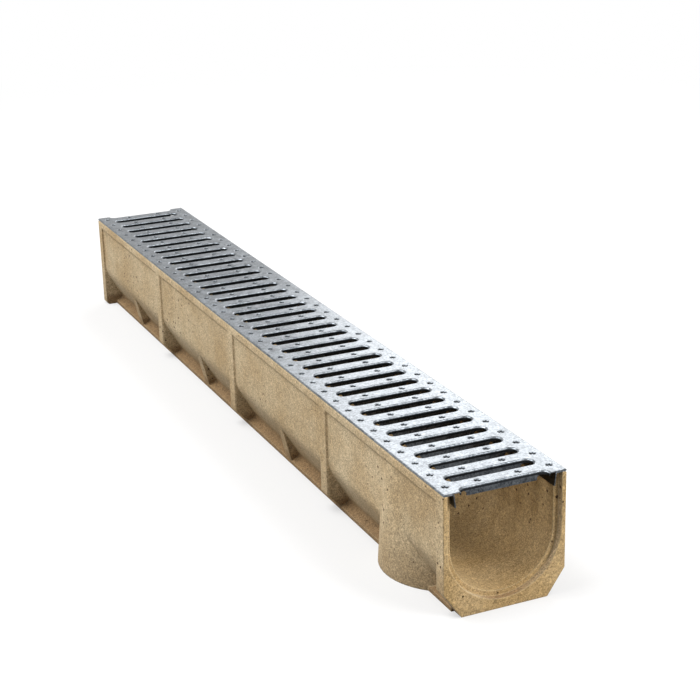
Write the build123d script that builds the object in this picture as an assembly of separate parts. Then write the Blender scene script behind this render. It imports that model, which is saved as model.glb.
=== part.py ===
"""Channel drain: a cast polymer-concrete channel one metre long, under a pressed and folded
galvanised slot grating that lies loose on its wall tops.

+X runs across the channel, +Y along it, +Z up. The origin is at the middle of the underside.
The near end (-Y) has the rebate and the outlet boss, and the far end (+Y) has the tongue.
"""
from build123d import *
from math import cos, radians, sin, tan
import os

# Channel: length and section
LENGTH = 1000.0             # laid length, without the tongue
WALL_TOP = 115.0            # height of the two wall tops
BORE_RADIUS = 50.0          # half the clear width, and the round invert
WALL = 9.0                  # from the bore to the faces of the rims, end flanges and ribs
FLOOR = 14.0                # thickness under the lowest line of the invert
TOP_ROUND = 1.5             # rounding of the wall tops' edges
PANEL_RECESS = 2.0          # panels between the ribs lie this far behind the rims
RIM_HEIGHT = 8.0            # band under the wall tops, flush with the ribs
RIM_SLOPE = 3.0             # height of the slope from panel to rim
TAPER_WALL = 8.0            # from the bore to the tapered faces under the panels
TAPER_ANGLE = 30.0          # degrees that those faces lean inwards
TAPER_ROUND = 30.0          # bend from panel to tapered face
FOOT_HALF_WIDTH = 45.0      # foot that the channel stands on
FOOT_EDGE = 4.0             # height of the foot's edge
FOOT_SLOPE = 4.0            # rise of the foot's top from that edge to the tapered face
FOOT_ROUND = 4.0            # hollow between the foot and the tapered face

# Channel: ends
FLANGE_THICKNESS = 13.0
NEAR_CHAMFER_TOP = 24.5     # where the near flange's side turns inwards
NEAR_FOOT_INSET = 17.0      # from the flange's side to its foot
FAR_CHAMFER = 3.0
REBATE_WIDTH = 5.0          # socket round the opening of the near end
REBATE_DEPTH = 6.0
TONGUE_PLAY = 0.5           # room round a tongue in the next channel's rebate
TONGUE_END_PLAY = 1.0       # room before a tongue's end in that rebate

# Channel: ribs and gussets on the outside
RIB_THICKNESS = 16.0
RIB_PITCH = 250.0
RIB_DRAFT = 1.0             # each side of a rib slopes in by this much at its face
GUSSET_THICKNESS = 14.0

# Channel: outlet boss and its closed knock-out
OUTLET_FROM_END = 102.5
OUTLET_RADIUS = 55.5        # takes the end of a 110 mm pipe
OUTLET_DEPTH = 8.0
BOSS_WALL = 9.5             # round the outlet, at the ground
BOSS_TAPER = 6.5            # the boss's radius is smaller by this much at its top
BOSS_BELOW_TOP = 10.0       # from the wall tops down to the boss's top

# Grating: folded sheet
SHEET = 1.0
HEM_GAP = 0.2               # between the two layers of each folded edge
LEG_CLEARANCE = 0.7         # from the leg to the bore wall, at the bend
LEG_BEND = 0.7              # radius on the side of the leg that faces the wall
LEG_DROP = 14.0             # from the top of the plate to the end of the leg
LEG_LEAN = 7.0              # degrees that the leg leans inwards

# Grating: slots
SLOT_COUNT = 36             # pitches, with half a slot left open at each end
SLOT_TO_BORE = 6.0          # from a slot's end, rounded rim included, to the bore's wall
SLOT_CLEAR = 12.0           # between the two flanges of a slot
RIM_LIP = 0.2               # a slot's dished rim ends this far below the plate's underside
FLANGE_DROP = 8.0           # from the top of the plate to a slot flange's edge
FLANGE_RELIEF = 2.2         # notch at both ends of a slot flange, under the plate

# Worked out from the sizes above
TONGUE_LENGTH = REBATE_DEPTH - TONGUE_END_PLAY
OVERALL_LENGTH = LENGTH + TONGUE_LENGTH
Y_NEAR = -OVERALL_LENGTH / 2
Y_FAR = Y_NEAR + LENGTH
Y_OUTLET = Y_NEAR + OUTLET_FROM_END
HALF_WIDTH = BORE_RADIUS + WALL
BORE_CENTRE = FLOOR + BORE_RADIUS
PANEL = HALF_WIDTH - PANEL_RECESS
LEAN = radians(TAPER_ANGLE)
TAPER_TOP = BORE_CENTRE - (BORE_RADIUS + TAPER_WALL - PANEL * cos(LEAN)) / sin(LEAN)
FOOT_TOP = FOOT_EDGE + FOOT_SLOPE
TAPER_FOOT = PANEL - (TAPER_TOP - FOOT_TOP) * tan(LEAN)
REBATE_RADIUS = BORE_RADIUS + REBATE_WIDTH
BOSS_FOOT_RADIUS = OUTLET_RADIUS + BOSS_WALL
BOSS_HEIGHT = WALL_TOP - BOSS_BELOW_TOP
PLATE_TOP = WALL_TOP + 2 * SHEET + HEM_GAP
PITCH = LENGTH / SLOT_COUNT
RIM_SLANT = SHEET + RIM_LIP             # a dished rim is as wide as it is deep
RIM_OUTER = SLOT_CLEAR / 2 + RIM_SLANT
RIM_CENTRE = BORE_RADIUS - SLOT_TO_BORE - RIM_OUTER

os.makedirs("parts", exist_ok=True)


def across(y):
    """Plane of a cross-section at y, seen from the near end: sketch x is X, sketch y is Z."""
    return Plane(origin=(0, y, 0), x_dir=(1, 0, 0), z_dir=(0, -1, 0))


def along(section, y_start, y_end):
    """Solid of one cross-section between two places along the channel."""
    return extrude(across(y_end) * section, amount=y_end - y_start)


def u_shape(half_width, top):
    """Open channel section round the bore's centre: a half round with straight sides above."""
    outline = Polyline((-half_width, BORE_CENTRE), (-half_width, top),
                       (half_width, top), (half_width, BORE_CENTRE))
    invert = ThreePointArc((half_width, BORE_CENTRE), (0, BORE_CENTRE - half_width),
                           (-half_width, BORE_CENTRE))
    return make_face(outline + invert)


def mirrored_face(points):
    """Face from the points of its right half, given from the bottom line to the top line."""
    left = [(-x, z) for x, z in reversed(points)]
    return make_face(Polyline(*points, *left, close=True))


def round_corners(face, z, radius):
    """Rounds both corners of a cross-section at this height."""
    return fillet(face.vertices().filter_by_position(Axis.Y, z - 0.1, z + 0.1), radius)


def round_wall_tops(face):
    """Rounds the outer top corners of a cross-section."""
    return round_corners(face, WALL_TOP, TOP_ROUND)


def panel_section():
    """Outside of the channel between its ribs."""
    rim_bottom = WALL_TOP - RIM_HEIGHT
    face = mirrored_face([
        (FOOT_HALF_WIDTH, 0), (FOOT_HALF_WIDTH, FOOT_EDGE), (TAPER_FOOT, FOOT_TOP),
        (PANEL, TAPER_TOP), (PANEL, rim_bottom - RIM_SLOPE),
        (HALF_WIDTH, rim_bottom), (HALF_WIDTH, WALL_TOP)])
    face = round_corners(face, FOOT_TOP, FOOT_ROUND)
    return round_wall_tops(round_corners(face, TAPER_TOP, TAPER_ROUND))


def near_flange_section():
    """End flange with its lower corners cut away."""
    return round_wall_tops(mirrored_face([
        (HALF_WIDTH - NEAR_FOOT_INSET, 0), (HALF_WIDTH, NEAR_CHAMFER_TOP),
        (HALF_WIDTH, WALL_TOP)]))


def far_flange_section():
    """End flange at its full width down to the ground."""
    return round_wall_tops(mirrored_face([
        (HALF_WIDTH - FAR_CHAMFER, 0), (HALF_WIDTH, FAR_CHAMFER),
        (HALF_WIDTH, WALL_TOP)]))


def rib():
    """Rib round the outside, with drafted sides, centred on y = 0."""
    chamfer = HALF_WIDTH - FOOT_HALF_WIDTH
    front = mirrored_face([
        (FOOT_HALF_WIDTH, 0), (FOOT_HALF_WIDTH, FOOT_EDGE),
        (HALF_WIDTH, FOOT_EDGE + chamfer), (HALF_WIDTH, WALL_TOP - RIM_HEIGHT / 2)])
    root = RIB_THICKNESS / 2
    plan = Polyline((PANEL, -root), (HALF_WIDTH, RIB_DRAFT - root),
                    (HALF_WIDTH, root - RIB_DRAFT), (PANEL, root),
                    (-PANEL, root), (-HALF_WIDTH, root - RIB_DRAFT),
                    (-HALF_WIDTH, RIB_DRAFT - root), (-PANEL, -root), close=True)
    return along(front, -root, root) & extrude(make_face(plan), amount=WALL_TOP)


def gusset():
    """Small web from the foot's edge up to the panel, between two ribs, centred on y = 0."""
    top = TAPER_TOP + TAPER_ROUND * tan(LEAN / 2)
    outline = mirrored_face([(FOOT_HALF_WIDTH, 0), (FOOT_HALF_WIDTH, FOOT_EDGE), (PANEL, top)])
    return along(outline, -GUSSET_THICKNESS / 2, GUSSET_THICKNESS / 2)


def outlet_boss():
    """Tapered boss for a vertical outlet, standing on the ground."""
    taper = Cone(BOSS_FOOT_RADIUS, BOSS_FOOT_RADIUS - BOSS_TAPER, BOSS_HEIGHT,
                 align=(Align.CENTER, Align.CENTER, Align.MIN))
    return Pos(0, Y_OUTLET, 0) * taper


def knock_out():
    """Blind recess under the boss, broken through on site to fit a pipe."""
    recess = Cylinder(OUTLET_RADIUS, OUTLET_DEPTH,
                      align=(Align.CENTER, Align.CENTER, Align.MIN))
    return Pos(0, Y_OUTLET, 0) * recess


def channel_body():
    """The whole casting, which is one piece."""
    body = along(panel_section(), Y_NEAR + FLANGE_THICKNESS, Y_FAR)
    body += along(near_flange_section(), Y_NEAR, Y_NEAR + FLANGE_THICKNESS)
    body += along(far_flange_section(), Y_FAR - FLANGE_THICKNESS, Y_FAR)
    y_middle = (Y_NEAR + Y_FAR) / 2
    body += [Pos(0, y_middle + step * RIB_PITCH, 0) * rib() for step in (-1, 0, 1)]
    body += [Pos(0, y_middle + step * RIB_PITCH, 0) * gusset() for step in (-0.5, 0.5, 1.5)]
    body += outlet_boss()
    body += along(u_shape(REBATE_RADIUS - TONGUE_PLAY, WALL_TOP), Y_FAR, Y_FAR + TONGUE_LENGTH)
    body -= along(u_shape(BORE_RADIUS, WALL_TOP), Y_NEAR, Y_FAR + TONGUE_LENGTH)
    body -= along(u_shape(REBATE_RADIUS, WALL_TOP), Y_NEAR, Y_NEAR + REBATE_DEPTH)
    return body - knock_out()


def folded_edge(inset):
    """Half of the sheet's outline, from the middle of the plate round the hem to the leg's end.

    An inset of 0 draws the outer face, and an inset of one sheet draws the inner face.
    """
    hem = SHEET + HEM_GAP / 2
    hem_x = HALF_WIDTH - hem
    hem_z = PLATE_TOP - hem
    bend_x = BORE_RADIUS - LEG_CLEARANCE + LEG_BEND
    bend_z = WALL_TOP - LEG_BEND
    lean = radians(LEG_LEAN)
    radius = LEG_BEND + inset
    bend_end = Vector(bend_x - radius * cos(lean), bend_z + radius * sin(lean))
    leg = (LEG_DROP - 2 * SHEET - HEM_GAP - LEG_BEND) / cos(lean)
    leg_end = bend_end + Vector(-sin(lean), -cos(lean)) * leg
    return [
        Line((0, PLATE_TOP - inset), (hem_x, PLATE_TOP - inset)),
        CenterArc((hem_x, hem_z), hem - inset, 90, -180),
        Line((hem_x, hem_z - hem + inset), (bend_x, bend_z + radius)),
        CenterArc((bend_x, bend_z), radius, 90, 90 - LEG_LEAN),
        Line(bend_end, leg_end),
    ]


def plate_section():
    """Cross-section of the folded sheet: plate, two hemmed edges and two legs."""
    outer = folded_edge(0)
    inner = folded_edge(SHEET)
    ends = [Line(outer[0] @ 0, inner[0] @ 0), Line(outer[-1] @ 1, inner[-1] @ 1)]
    half = make_face(Curve() + outer + inner + ends)
    return half + mirror(half, about=Plane.YZ)


def slot_window():
    """What a slot takes out of the plate: rounded ends, and a rim dished all the way round."""
    outline = SlotCenterToCenter(2 * RIM_CENTRE, 2 * (RIM_OUTER - SHEET))
    return extrude(Pos(0, 0, PLATE_TOP - SHEET) * outline, amount=SHEET, taper=-45)


def slot_flange():
    """Sheet bent down along the far side of a slot, as wide as the slot is straight."""
    face = SLOT_CLEAR / 2
    bend = PLATE_TOP - RIM_SLANT
    edge = PLATE_TOP - FLANGE_DROP
    underside = PLATE_TOP - SHEET
    section = make_face(Polyline(
        (RIM_OUTER - SHEET, underside), (face, bend), (face, edge),
        (face + SHEET, edge), (face + SHEET, underside), close=True))
    bent = extrude(Plane(origin=(-RIM_CENTRE, 0, 0), x_dir=(0, 1, 0), z_dir=(1, 0, 0))
                   * section, amount=2 * RIM_CENTRE)
    narrow = RIM_CENTRE - FLANGE_RELIEF
    outline = mirrored_face([(narrow, edge), (narrow, underside - FLANGE_RELIEF),
                             (RIM_CENTRE, underside)])
    return bent & along(outline, 0, RIM_OUTER)


def slotted_grating():
    """The whole grating, folded and pressed from one sheet."""
    slots = [Y_NEAR + i * PITCH for i in range(SLOT_COUNT + 1)]
    flange = slot_flange()
    opposite = Rot(0, 0, 180) * flange
    plate = along(plate_section(), Y_NEAR, Y_FAR)
    plate -= [Pos(0, y, 0) * slot_window() for y in slots]
    plate += [Pos(0, y, 0) * flange for y in slots[:-1]]
    return plate + [Pos(0, y, 0) * opposite for y in slots[1:]]


if __name__ == "__main__":
    export_step(channel_body(), "parts/channel_body.step")
    export_step(slotted_grating(), "parts/slotted_grating.step")
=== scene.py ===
"""Channel drain: a cast polymer-concrete channel under a folded galvanised slot grating.

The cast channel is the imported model's own solid, merged and shaded smooth. The grating is pressed
and folded here from one sheet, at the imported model's sizes, with round rims, collars and dimples.
"""
from math import radians, tan

import bmesh
import bpy
from mathutils import Matrix, Vector


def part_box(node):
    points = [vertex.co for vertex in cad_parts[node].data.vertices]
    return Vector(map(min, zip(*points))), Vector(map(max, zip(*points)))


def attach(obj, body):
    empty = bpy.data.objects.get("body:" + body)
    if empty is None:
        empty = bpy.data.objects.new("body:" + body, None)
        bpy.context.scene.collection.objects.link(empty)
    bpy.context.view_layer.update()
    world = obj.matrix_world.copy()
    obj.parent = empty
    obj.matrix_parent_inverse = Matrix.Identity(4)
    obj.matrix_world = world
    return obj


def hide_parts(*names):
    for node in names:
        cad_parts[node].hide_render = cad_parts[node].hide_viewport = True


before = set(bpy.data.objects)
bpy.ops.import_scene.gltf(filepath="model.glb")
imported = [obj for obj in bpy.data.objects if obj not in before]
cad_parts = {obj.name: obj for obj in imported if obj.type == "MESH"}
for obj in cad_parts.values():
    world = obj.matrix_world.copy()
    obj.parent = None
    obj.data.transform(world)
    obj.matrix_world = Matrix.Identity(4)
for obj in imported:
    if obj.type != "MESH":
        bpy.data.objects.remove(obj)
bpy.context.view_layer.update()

MM = 0.001                  # the scene is in metres, and the sizes below are in millimetres
TOUCH = 0.001               # points this close are one point
NEAR = 0.01                 # points this close are in one row

# Grating: folded sheet
SHEET = 1.0                 # its thickness
HEM_RADIUS = 1.1            # outside of the folded long edges
BEND_X = 50.0               # where the sheet turns down into the leg
LEG_BEND = 0.7              # inside of the bend into the leg
LEG_DROP = 13.915           # from the top of the plate to the end of the leg
LEG_LEAN = radians(7.0)

# Grating: slots, seen from the middle of one
SLOT_COUNT = 36
RIM_RADIUS = 2.0            # round rim of a slot
SLOT_STRAIGHT = 36.0        # half of a slot's straight part
SLOT_HALF = 8.0             # half of a slot's width, rim included
COLLAR_DROP = 3.2           # from the top of the plate to the edge of the collar
FLANGE_DROP = 8.0           # from the top of the plate to the edge of the flange
RELIEF = 2.2                # notch at both ends of a flange
FLANGE_TOP = 113.8          # above the ground, and the steel is painted darker below it, as painted shade
FLANGE_FADE = 0.5           # over which that painted shade fades in

# Grating: dimples, with each ring's way inwards, its way down and its steel, plain or painted shade
GALVANISED, PAINTED_SHADE_ZINC = 0, 1
DIMPLE_RADIUS = 3.5
DIMPLES = (19.5, 50.0)      # from the middle of the grating, on every bar
DIMPLE_RINGS = ((0.25, 0.05, GALVANISED), (0.5, 0.4, GALVANISED),
                (0.7, 0.6, PAINTED_SHADE_ZINC), (1.0, 0.1, PAINTED_SHADE_ZINC))

# Grating: facets of its rounds, and the angle from which an edge is sharp
RIM_STEPS = 4
SLOT_END_STEPS = 8
HEM_STEPS = 8
LEG_BEND_STEPS = 4
DIMPLE_SIDES = 12
SHEET_SHARP = radians(50)
UPRIGHT = 0.9999            # a normal this upright is a flat face's

# Channel
BORE_RADIUS = 50.0
BORE_MARGIN = 0.3           # takes in the bore's own surface
BORE_CENTRE = 64.0          # above the ground
END_FACE = 496.0            # from the middle, to the end faces with their rebate and tongue
WALL_FACE = 59.0            # from the middle to the walls' outer faces
WALL_FADE = 1.0             # inside these faces, over which the foot's painted shade fades in
BOSS_RADIUS = 65.6          # just outside the boss, round its own axis
BOSS_FROM_MIDDLE = 400.0    # along the channel
ARRIS_RADIUS = 1.8
SAME_PLANE = radians(0.5)   # facets that meet at less are merged
CAST_SHARP = radians(25)

FLOOR_SIZE = 40000.0

# Camera
TARGET = Vector((0.08349, -0.0025, 0.06279))
DISTANCE = 1.85408
AZIMUTH = radians(-24.015)
ELEVATION = radians(19.572)
ROLL = radians(-1.447)
LENS = 84.68                # on a 36 mm sensor


def turned_to_z(part):
    """Recalculates the normals and points the plate's top upwards."""
    bmesh.ops.recalc_face_normals(part, faces=part.faces)
    top = max(part.faces, key=lambda face: face.calc_area())
    if top.normal.z < 0:
        bmesh.ops.reverse_faces(part, faces=part.faces)


def moved(part, made, step):
    """Moves the vertices among what an operator made, and gives its vertices and edges."""
    verts = [item for item in made if isinstance(item, bmesh.types.BMVert)]
    edges = [item for item in made if isinstance(item, bmesh.types.BMEdge)]
    bmesh.ops.translate(part, verts=verts, vec=step)
    return verts, edges


def as_object(name, part, *materials):
    """Object at the origin from a bmesh in millimetres."""
    bmesh.ops.scale(part, vec=(MM, MM, MM), verts=part.verts)
    mesh = bpy.data.meshes.new(name)
    part.to_mesh(mesh)
    part.free()
    for material in materials:
        mesh.materials.append(material)
    thing = bpy.data.objects.new(name, mesh)
    bpy.context.scene.collection.objects.link(thing)
    return thing


# ---------------------------------------------------------------- grating

def slot_rim(part, centre_line):
    """Quarter of a slot: round rim and collar, along the straight part and round its end.

    The lower part of the rim gets the dark zinc as painted shade.
    """
    edge_y = centre_line - SLOT_HALF
    start = bmesh.ops.create_vert(part, co=(SLOT_STRAIGHT, edge_y, 0))["vert"]
    bmesh.ops.spin(part, geom=start, cent=(SLOT_STRAIGHT, edge_y, -RIM_RADIUS), axis=(-1, 0, 0),
                   angle=radians(90), steps=RIM_STEPS)
    lowest = min(part.verts, key=lambda vert: vert.co.z)
    made = bmesh.ops.extrude_vert_indiv(part, verts=[lowest])
    moved(part, made["verts"], (0, 0, RIM_RADIUS - COLLAR_DROP))
    chain = part.verts[:] + part.edges[:]
    profile = part.edges[:]
    made = bmesh.ops.extrude_edge_only(part, edges=profile)["geom"]
    moved(part, made, (-SLOT_STRAIGHT, 0, 0))
    bmesh.ops.spin(part, geom=chain, cent=(SLOT_STRAIGHT, centre_line, 0), axis=(0, 0, 1),
                   angle=radians(90), steps=SLOT_END_STEPS)
    for face in part.faces:
        lower = face.calc_center_median().z < -RIM_RADIUS / 2
        # Painted shade: the rim's lower half gets the dark zinc
        face.material_index = PAINTED_SHADE_ZINC if lower else GALVANISED


def slot_flange(part):
    """Bends the flanges down from the collars' straight edges, with a notch at their ends."""
    low = [edge for edge in part.edges if all(
        abs(vert.co.z + COLLAR_DROP) < NEAR and vert.co.x < SLOT_STRAIGHT + NEAR
        for vert in edge.verts)]
    made = bmesh.ops.extrude_edge_only(part, edges=low)["geom"]
    verts, edges = moved(part, made, (0, 0, -RELIEF))
    ends = [vert for vert in verts if vert.co.x > SLOT_STRAIGHT - NEAR]
    bmesh.ops.translate(part, verts=ends, vec=(-RELIEF, 0, 0))
    low = [edge for edge in edges if all(
        abs(vert.co.z + COLLAR_DROP + RELIEF) < NEAR for vert in edge.verts)]
    made = bmesh.ops.extrude_edge_only(part, edges=low)["geom"]
    moved(part, made, (0, 0, COLLAR_DROP + RELIEF - FLANGE_DROP))
    for face in part.faces:
        if face.calc_center_median().z < -COLLAR_DROP:
            face.material_index = GALVANISED


def dimple(part, x):
    """Small round dimple pressed into a bar, plain at its rim and with painted shade lower down."""
    made = bmesh.ops.create_circle(part, cap_ends=True, radius=DIMPLE_RADIUS,
                                   segments=DIMPLE_SIDES, matrix=Matrix.Translation((x, 0, 0)))
    face = made["verts"][0].link_faces[0]
    if face.normal.z < 0:
        bmesh.ops.reverse_faces(part, faces=[face])
    for inwards, down, steel in DIMPLE_RINGS:
        ring = bmesh.ops.inset_individual(part, faces=[face], thickness=inwards, depth=-down)
        for wall in ring["faces"]:
            wall.material_index = steel


def flat_top(part, half_pitch, half_width):
    """Flat sheet between the slots' rims, the dimples and the folded edge."""
    corners = [bmesh.ops.create_vert(part, co=(x, y, 0))["vert"][0]
               for x, y in ((half_width, half_pitch), (half_width, -half_pitch))]
    tips = [max((vert for vert in part.verts if abs(vert.co.z) < TOUCH
                 and abs(vert.co.y - side * half_pitch) < TOUCH and vert not in corners),
                key=lambda vert: vert.co.x) for side in (1, -1)]
    middle = [min((vert for vert in part.verts if abs(vert.co.z) < TOUCH
                   and vert.co.y * side > 0), key=lambda vert: vert.co.x) for side in (1, -1)]
    for pair in ((corners[0], corners[1]), (corners[0], tips[0]), (corners[1], tips[1]), middle):
        part.edges.new(pair)
    rims = [edge for edge in part.edges if len(edge.link_faces) < 2
            and all(abs(vert.co.z) < TOUCH for vert in edge.verts)]
    bmesh.ops.triangle_fill(part, edges=rims, use_beauty=True, use_dissolve=False,
                            normal=(0, 0, 1))
    return [edge for edge in part.edges if all(vert in corners for vert in edge.verts)]


def folded_edge(part, edge, half_width):
    """Hems the long edge, brings the sheet back under itself and turns it down into the leg."""
    hem = bmesh.ops.spin(part, geom=edge + list(edge[0].verts), cent=(half_width, 0, -HEM_RADIUS),
                         axis=(0, 1, 0), angle=radians(180), steps=HEM_STEPS)["geom_last"]
    back = [item for item in hem if isinstance(item, bmesh.types.BMEdge)]
    made = bmesh.ops.extrude_edge_only(part, edges=back)["geom"]
    verts, edges = moved(part, made, (BEND_X - half_width, 0, 0))
    across = [item for item in edges if all(vert in verts for vert in item.verts)]
    bend = bmesh.ops.spin(part, geom=verts + across, cent=(BEND_X, 0, -2 * HEM_RADIUS - LEG_BEND),
                          axis=(0, -1, 0), angle=radians(90) - LEG_LEAN,
                          steps=LEG_BEND_STEPS)["geom_last"]
    across = [item for item in bend if isinstance(item, bmesh.types.BMEdge)]
    fall = across[0].verts[0].co.z + LEG_DROP
    made = bmesh.ops.extrude_edge_only(part, edges=across)["geom"]
    moved(part, made, (-fall * tan(LEG_LEAN), 0, -fall))


def pressed_grating(*materials):
    """Whole grating: one bar's width is pressed, mirrored, repeated and given its thickness."""
    low, high = (Vector(corner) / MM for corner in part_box("slotted_grating"))
    pitch = (high.y - low.y) / SLOT_COUNT
    half_width = high.x - HEM_RADIUS
    part = bmesh.new()
    slot_rim(part, pitch / 2)
    slot_flange(part)
    bmesh.ops.mirror(part, geom=part.verts[:] + part.edges[:] + part.faces[:], axis="Y",
                     matrix=Matrix.Identity(4), merge_dist=TOUCH)
    for x in DIMPLES:
        dimple(part, x)
    edge = flat_top(part, pitch / 2, half_width)
    folded_edge(part, edge, half_width)
    bmesh.ops.mirror(part, geom=part.verts[:] + part.edges[:] + part.faces[:], axis="X",
                     matrix=Matrix.Identity(4), merge_dist=TOUCH)
    bar = part.verts[:] + part.edges[:] + part.faces[:]
    bmesh.ops.translate(part, verts=part.verts, vec=(0, low.y + pitch / 2, high.z))
    for i in range(1, SLOT_COUNT):
        made = bmesh.ops.duplicate(part, geom=bar)["geom"]
        moved(part, made, (0, i * pitch, 0))
    bmesh.ops.remove_doubles(part, verts=part.verts, dist=TOUCH)
    turned_to_z(part)
    bmesh.ops.solidify(part, geom=part.faces[:], thickness=-SHEET)
    # The sheet is thickened downwards, which leaves the shell inside out
    bmesh.ops.reverse_faces(part, faces=part.faces)
    grating = as_object("pressed_grating", part, *materials)
    grating.data.set_sharp_from_angle(angle=SHEET_SHARP)
    for face in grating.data.polygons:
        face.use_smooth = abs(face.normal.z) < UPRIGHT
    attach(grating, "root")
    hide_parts("slotted_grating")
    return grating


# ---------------------------------------------------------------- channel

def cast_channel(material):
    """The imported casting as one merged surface, so that its rounds shade smoothly."""
    part = bmesh.new()
    part.from_mesh(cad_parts["channel_body"].data)
    bmesh.ops.remove_doubles(part, verts=part.verts, dist=TOUCH * MM)
    bmesh.ops.dissolve_limit(part, angle_limit=SAME_PLANE, verts=part.verts, edges=part.edges,
                             use_dissolve_boundaries=False)
    bmesh.ops.recalc_face_normals(part, faces=part.faces)
    for face in part.faces:
        face.smooth = True
    bmesh.ops.scale(part, vec=(1 / MM, 1 / MM, 1 / MM), verts=part.verts)
    channel = as_object("cast_channel", part, material)
    facet_normals = channel.data.attributes.get("custom_normal")
    if facet_normals:
        channel.data.attributes.remove(facet_normals)
    channel.data.set_sharp_from_angle(angle=CAST_SHARP)
    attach(channel, "root")
    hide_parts("channel_body")
    return channel


# ---------------------------------------------------------------- materials

def linear(colour):
    """Linear RGBA from an sRGB hex value."""
    parts = [int(colour[i:i + 2], 16) / 255 for i in (1, 3, 5)]
    return [c / 12.92 if c <= 0.04045 else ((c + 0.055) / 1.055) ** 2.4 for c in parts] + [1.0]


def per_mm(size):
    """Texture scale whose features are this many millimetres apart."""
    return 1 / (size * MM)


def node(tree, kind, inputs=None, **settings):
    """Adds a node, with its properties and with a value or a link for each named input."""
    made = tree.nodes.new(kind)
    for name, value in settings.items():
        setattr(made, name, value)
    for name, value in (inputs or {}).items():
        if isinstance(value, bpy.types.NodeSocket):
            tree.links.new(value, made.inputs[name])
        else:
            made.inputs[name].default_value = value
    return made


def empty_material(name):
    """Material without nodes, and its tree."""
    material = bpy.data.materials.new(name)
    material.use_nodes = True
    material.node_tree.nodes.clear()
    return material, material.node_tree


def seen_or_reflected(tree):
    """1 for what the camera sees and for reflections, 0 for the light on matt surfaces."""
    rays = node(tree, "ShaderNodeLightPath").outputs
    return node(tree, "ShaderNodeMath", {0: rays["Is Camera Ray"], 1: rays["Is Glossy Ray"]},
                operation="MAXIMUM").outputs[0]


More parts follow.
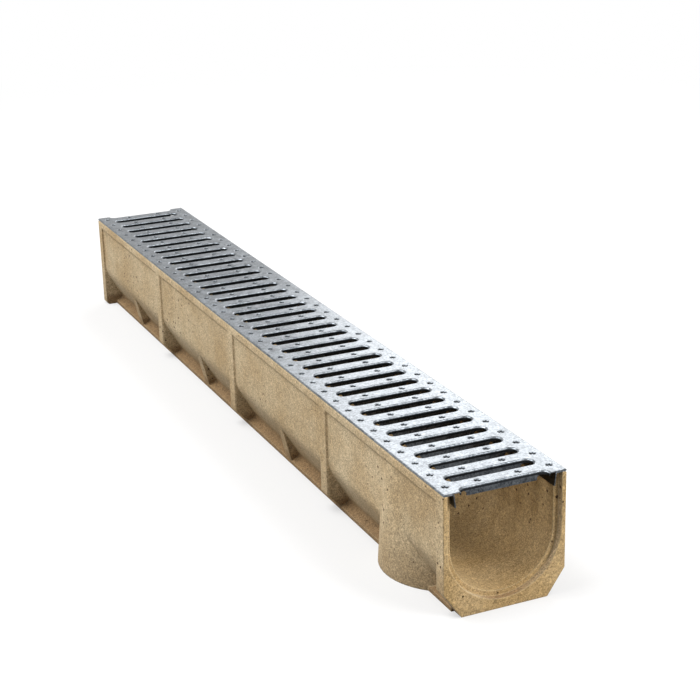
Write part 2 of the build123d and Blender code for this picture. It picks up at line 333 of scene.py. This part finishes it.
def polymer_concrete():
    """Polymer concrete: quartz sand and fine gravel bound with resin, cast in a mould.

    It gives a warm sandy tan, matt and grainy, with cloudy patches of more or less resin, small
    dark air pores and a painted highlight along the arrises. The bore, the end faces and the foot
    get painted shade, browner and darker.
    """
    material, tree = empty_material("polymer_concrete")
    place = node(tree, "ShaderNodeTexCoord").outputs["Object"]
    axes = node(tree, "ShaderNodeSeparateXYZ", {0: place}).outputs
    # The patches of resin are some 70 mm wide, and the gravel is 2 to 3 mm
    clouds = node(tree, "ShaderNodeTexNoise", {
        "Vector": place, "Scale": per_mm(70), "Detail": 5, "Roughness": 0.6}).outputs["Fac"]
    # Sand of 0.3 to 1 mm is drawn at 1.3 mm, because finer grain does not show at this distance
    sand = node(tree, "ShaderNodeTexNoise", {
        "Vector": place, "Scale": per_mm(1.3), "Detail": 1, "Roughness": 0.7}).outputs["Fac"]
    gravel = node(tree, "ShaderNodeTexVoronoi", {"Vector": place, "Scale": per_mm(2.4)})
    stone = node(tree, "ShaderNodeSeparateColor", {"Color": gravel.outputs["Color"]}).outputs[0]
    # Air pores are 1 to 2 mm wide and some 9 mm apart, in loose groups
    pores = node(tree, "ShaderNodeTexVoronoi", {"Vector": place, "Scale": per_mm(9)})
    groups = node(tree, "ShaderNodeTexNoise", {
        "Vector": place, "Scale": per_mm(90), "Detail": 1}).outputs["Fac"]
    size = node(tree, "ShaderNodeMapRange", {
        "Value": groups, "From Min": 0.32, "From Max": 0.62,
        "To Min": 0.0, "To Max": 0.18}).outputs["Result"]
    depth = node(tree, "ShaderNodeMath", {0: size, 1: pores.outputs["Distance"]},
                 operation="SUBTRACT").outputs[0]
    pore = node(tree, "ShaderNodeMapRange", {
        "Value": depth, "From Min": 0.0, "From Max": 0.04}).outputs["Result"]

    # Painted shade: the bore and the end faces are coloured browner and darker than the walls.
    # The bore is what lies within its radius of its axis, and between its straight sides above
    drop = node(tree, "ShaderNodeMath", {0: axes[2], 1: -BORE_CENTRE * MM},
                operation="ADD").outputs[0]
    drop = node(tree, "ShaderNodeMath", {0: drop, 1: 0.0}, operation="MINIMUM").outputs[0]
    radial = node(tree, "ShaderNodeCombineXYZ", {0: axes[0], 1: drop}).outputs[0]
    radius = node(tree, "ShaderNodeVectorMath", {0: radial}, operation="LENGTH").outputs["Value"]
    bore = node(tree, "ShaderNodeMath", {0: radius, 1: (BORE_RADIUS + BORE_MARGIN) * MM},
                operation="LESS_THAN").outputs[0]
    normal = node(tree, "ShaderNodeNewGeometry").outputs["Normal"]
    along = node(tree, "ShaderNodeSeparateXYZ", {0: normal}).outputs[1]
    along = node(tree, "ShaderNodeMath", {0: along}, operation="ABSOLUTE").outputs[0]
    across = node(tree, "ShaderNodeMath", {0: along, 1: 0.9}, operation="GREATER_THAN").outputs[0]
    reach = node(tree, "ShaderNodeMath", {0: axes[1]}, operation="ABSOLUTE").outputs[0]
    ends = node(tree, "ShaderNodeMath", {0: reach, 1: END_FACE * MM},
                operation="GREATER_THAN").outputs[0]
    ends = node(tree, "ShaderNodeMath", {0: ends, 1: across}, operation="MULTIPLY").outputs[0]
    # Painted shade mask: the bore and the end faces
    bore_and_end_shade = node(tree, "ShaderNodeMath", {0: bore, 1: ends}, operation="MAXIMUM").outputs[0]

    # Painted shade: the foot between the ribs is painted brownest up to 9 mm, and the rest of the
    # casting a little browner from 50 mm towards the ground
    side = node(tree, "ShaderNodeMath", {0: axes[0]}, operation="ABSOLUTE").outputs[0]
    shade_below = node(tree, "ShaderNodeMapRange", {
        "Value": side, "From Min": (WALL_FACE - WALL_FADE) * MM, "From Max": WALL_FACE * MM,
        "To Min": 1.0, "To Max": 0.0}).outputs["Result"]
    boss = node(tree, "ShaderNodeMath", {0: axes[1], 1: BOSS_FROM_MIDDLE * MM},
                operation="ADD").outputs[0]
    boss = node(tree, "ShaderNodeCombineXYZ", {0: axes[0], 1: boss}).outputs[0]
    boss = node(tree, "ShaderNodeVectorMath", {0: boss}, operation="LENGTH").outputs["Value"]
    clear = node(tree, "ShaderNodeMath", {0: boss, 1: BOSS_RADIUS * MM},
                 operation="GREATER_THAN").outputs[0]
    shade_below = node(tree, "ShaderNodeMath", {0: shade_below, 1: clear}, operation="MULTIPLY").outputs[0]
    ledge_shade = node(tree, "ShaderNodeMapRange", {
        "Value": axes[2], "From Min": 9 * MM, "From Max": 18 * MM,
        "To Min": 0.9, "To Max": 0.0}).outputs["Result"]
    ledge_shade = node(tree, "ShaderNodeMath", {0: shade_below, 1: ledge_shade}, operation="MULTIPLY").outputs[0]
    low = node(tree, "ShaderNodeMapRange", {
        "Value": axes[2], "From Min": 5 * MM, "From Max": 50 * MM,
        "To Min": 0.4, "To Max": 0.0}).outputs["Result"]
    foot_shade = node(tree, "ShaderNodeMath", {0: ledge_shade, 1: low}, operation="MAXIMUM").outputs[0]

    patchy = node(tree, "ShaderNodeMapRange", {
        "Value": clouds, "From Min": 0.35, "From Max": 0.65}).outputs["Result"]
    outside = node(tree, "ShaderNodeMix", {
        0: patchy, 6: linear("#AF9772"), 7: linear("#C1AE8D")}, data_type="RGBA").outputs[2]
    # Painted shade on the foot and the lower walls
    outside = node(tree, "ShaderNodeMix", {
        0: foot_shade, 6: outside, 7: linear("#806646")}, data_type="RGBA").outputs[2]
    # Browner colour painted on the bore and the end faces as shade
    inside = node(tree, "ShaderNodeMix", {
        0: patchy, 6: linear("#A0855A"), 7: linear("#AF966E")}, data_type="RGBA").outputs[2]
    body = node(tree, "ShaderNodeMix", {
        0: bore_and_end_shade, 6: outside, 7: inside}, data_type="RGBA").outputs[2]
    stones = node(tree, "ShaderNodeMapRange", {
        "Value": stone, "To Min": 0.84, "To Max": 1.16}).outputs["Result"]
    grains = node(tree, "ShaderNodeMapRange", {
        "Value": sand, "From Min": 0.3, "From Max": 0.7,
        "To Min": 0.62, "To Max": 1.38}).outputs["Result"]
    speckle = node(tree, "ShaderNodeMath", {0: stones, 1: grains}, operation="MULTIPLY").outputs[0]
    sandy = node(tree, "ShaderNodeVectorMath", {0: body, "Scale": speckle},
                 operation="SCALE").outputs[0]

    # The mould's corners are rounded by 1 to 2 mm, and a paler colour is painted along them as a
    # highlight
    rounded = node(tree, "ShaderNodeBevel", {"Radius": ARRIS_RADIUS * MM},
                   samples=6).outputs["Normal"]
    facing = node(tree, "ShaderNodeVectorMath", {0: normal, 1: rounded},
                  operation="DOT_PRODUCT").outputs["Value"]
    arris_highlight = node(tree, "ShaderNodeMapRange", {
        "Value": facing, "From Min": 0.72, "From Max": 0.9,
        "To Min": 0.45, "To Max": 0.0}).outputs["Result"]
    # Painted highlight along the arrises
    pale = node(tree, "ShaderNodeMix", {
        0: arris_highlight, 6: sandy, 7: linear("#DCCAA4")}, data_type="RGBA").outputs[2]
    colour = node(tree, "ShaderNodeMix", {
        0: pore, 6: pale, 7: linear("#4E3B27")}, data_type="RGBA").outputs[2]

    relief = node(tree, "ShaderNodeMath", {0: sand, 1: pore}, operation="SUBTRACT").outputs[0]
    bump = node(tree, "ShaderNodeBump", {
        "Strength": 0.7, "Distance": 0.4 * MM, "Height": relief, "Normal": rounded}).outputs[0]
    shader = node(tree, "ShaderNodeBsdfPrincipled", {
        "Base Color": colour, "Roughness": 0.85, "Specular IOR Level": 0.3, "Normal": bump})
    node(tree, "ShaderNodeOutputMaterial", {"Surface": shader.outputs[0]})
    return material


def galvanised_steel():
    """Hot-dip galvanised sheet steel: zinc that froze on the sheet, then pressed and folded.

    It gives a light bluish grey metal with a satin gloss and a fine sparkling grain, whose zinc
    crystals differ a little in brightness and gloss. The flanges and legs below the plate are
    painted darker, as painted shade.
    """
    material, tree = empty_material("galvanised_steel")
    place = node(tree, "ShaderNodeTexCoord").outputs["Object"]
    height = node(tree, "ShaderNodeSeparateXYZ", {0: place}).outputs[2]
    # The crystals are some 7 mm wide
    crystals = node(tree, "ShaderNodeTexVoronoi", {"Vector": place, "Scale": per_mm(7)})
    crystal = node(tree, "ShaderNodeSeparateColor", {"Color": crystals.outputs["Color"]}).outputs[0]
    # The zinc's own grain is finer, and is drawn at 2 mm so that it shows on the slanting plate
    grain = node(tree, "ShaderNodeTexNoise", {
        "Vector": place, "Scale": per_mm(2), "Detail": 2, "Roughness": 0.7}).outputs["Fac"]
    facets = node(tree, "ShaderNodeMath", {0: crystal, 1: 0.22}, operation="MULTIPLY").outputs[0]
    brightness = node(tree, "ShaderNodeMath", {0: facets, 1: grain}, operation="ADD").outputs[0]
    shade = node(tree, "ShaderNodeMapRange", {
        "Value": brightness, "From Min": 0.4, "From Max": 0.82}).outputs["Result"]
    colour = node(tree, "ShaderNodeMix", {
        0: shade, 6: linear("#4A4F54"), 7: linear("#888D92")}, data_type="RGBA").outputs[2]
    # Painted shade: the flanges and legs below the plate are darkened
    shade_below = node(tree, "ShaderNodeMapRange", {
        "Value": height, "From Min": FLANGE_TOP * MM,
        "From Max": (FLANGE_TOP + FLANGE_FADE) * MM,
        "To Min": 0.42, "To Max": 1.0}).outputs["Result"]
    colour = node(tree, "ShaderNodeVectorMath", {0: colour, "Scale": shade_below},
                  operation="SCALE").outputs[0]
    gloss = node(tree, "ShaderNodeMapRange", {
        "Value": crystal, "To Min": 0.28, "To Max": 0.36}).outputs["Result"]
    bump = node(tree, "ShaderNodeBump", {
        "Strength": 0.2, "Distance": 0.05 * MM, "Height": grain}).outputs[0]
    shader = node(tree, "ShaderNodeBsdfPrincipled", {
        "Base Color": colour, "Metallic": 1.0, "Roughness": gloss, "Normal": bump})
    node(tree, "ShaderNodeOutputMaterial", {"Surface": shader.outputs[0]})
    return material


def shade_painted_zinc():
    """Dark grey zinc as painted shade: dull, with faint streaks of lighter steel.

    It paints the shade of the dark line under each slot's rim and the dark ring in each dimple.
    """
    material, tree = empty_material("shade_painted_zinc")
    place = node(tree, "ShaderNodeTexCoord").outputs["Object"]
    streaks = node(tree, "ShaderNodeTexNoise", {
        "Vector": place, "Scale": per_mm(2), "Detail": 2, "Roughness": 0.6}).outputs["Fac"]
    colour = node(tree, "ShaderNodeMix", {
        0: streaks, 6: linear("#191B1D"), 7: linear("#34373A")}, data_type="RGBA").outputs[2]
    shader = node(tree, "ShaderNodeBsdfPrincipled", {
        "Base Color": colour, "Metallic": 1.0, "Roughness": 0.45})
    node(tree, "ShaderNodeOutputMaterial", {"Surface": shader.outputs[0]})
    return material


def studio_floor():
    """Matt white paper: the camera sees it nearly white, and it keeps the object's soft shadow."""
    material, tree = empty_material("studio_floor")
    seen = seen_or_reflected(tree)
    pale = node(tree, "ShaderNodeMix", {
        0: seen, 6: linear("#8C8C8C"), 7: linear("#D1D1D1")}, data_type="RGBA").outputs[2]
    paper = node(tree, "ShaderNodeBsdfDiffuse", {"Color": pale}).outputs[0]
    white = node(tree, "ShaderNodeEmission", {"Strength": 1.0}).outputs[0]
    place = node(tree, "ShaderNodeTexCoord").outputs["Object"]
    away = node(tree, "ShaderNodeVectorMath", {0: place}, operation="LENGTH").outputs["Value"]
    # The paper keeps its shadow within 0.7 m of the middle and is plain white from 2.2 m
    lit = node(tree, "ShaderNodeMapRange", {
        "Value": away, "From Min": 0.7, "From Max": 2.2,
        "To Min": 0.55, "To Max": 1.0}).outputs["Result"]
    share = node(tree, "ShaderNodeMath", {0: seen, 1: lit}, operation="MULTIPLY").outputs[0]
    mixed = node(tree, "ShaderNodeMixShader", {0: share, 1: paper, 2: white}).outputs[0]
    node(tree, "ShaderNodeOutputMaterial", {"Surface": mixed})
    return material


# ---------------------------------------------------------------- studio

def studio():
    """Floor, white backdrop, soft lamps and camera."""
    part = bmesh.new()
    bmesh.ops.create_grid(part, x_segments=1, y_segments=1, size=FLOOR_SIZE)
    as_object("floor", part, studio_floor())

    world = bpy.data.worlds.new("studio")
    bpy.context.scene.world = world
    world.use_nodes = True
    tree = world.node_tree
    tree.nodes.clear()
    strength = node(tree, "ShaderNodeMapRange", {
        "Value": seen_or_reflected(tree), "To Min": 0.34, "To Max": 1.0}).outputs["Result"]
    backdrop = node(tree, "ShaderNodeBackground", {
        "Color": linear("#FFFFFF"), "Strength": strength}).outputs[0]
    node(tree, "ShaderNodeOutputWorld", {"Surface": backdrop})

    # Places and sizes are in metres and powers in watts. The front lamp fills the mouth of the matt
    # casting, and it is the one lamp that the steel doesn't reflect
    for name, place, size, power, reflected in (
            ("key_lamp", (-1.7, 0.7, 3.4), 2.8, 208, True),
            ("front_lamp", (1.5, -2.6, 1.5), 1.4, 86, False),
            ("top_lamp", (1.5, -1.0, 3.2), 1.1, 50, True),
            ("back_lamp", (1.15, 1.6, 1.16), 0.9, 11.5, True)):
        light = bpy.data.lights.new(name, "AREA")
        light.size = size
        light.energy = power
        lamp = bpy.data.objects.new(name, light)
        lamp.visible_glossy = reflected
        lamp.location = place
        lamp.rotation_euler = (-Vector(place)).to_track_quat("-Z", "Y").to_euler()
        bpy.context.scene.collection.objects.link(lamp)

    data = bpy.data.cameras.new("camera")
    data.lens = LENS
    camera = bpy.data.objects.new("camera", data)
    turn = (Matrix.Rotation(AZIMUTH, 4, "Z") @ Matrix.Rotation(radians(90) - ELEVATION, 4, "X")
            @ Matrix.Rotation(ROLL, 4, "Z"))
    camera.matrix_world = Matrix.Translation(TARGET) @ turn @ Matrix.Translation((0, 0, DISTANCE))
    bpy.context.scene.collection.objects.link(camera)
    bpy.context.scene.camera = camera
    bpy.context.scene.view_settings.view_transform = "Standard"


studio()
cast_channel(polymer_concrete())
pressed_grating(galvanised_steel(), shade_painted_zinc())
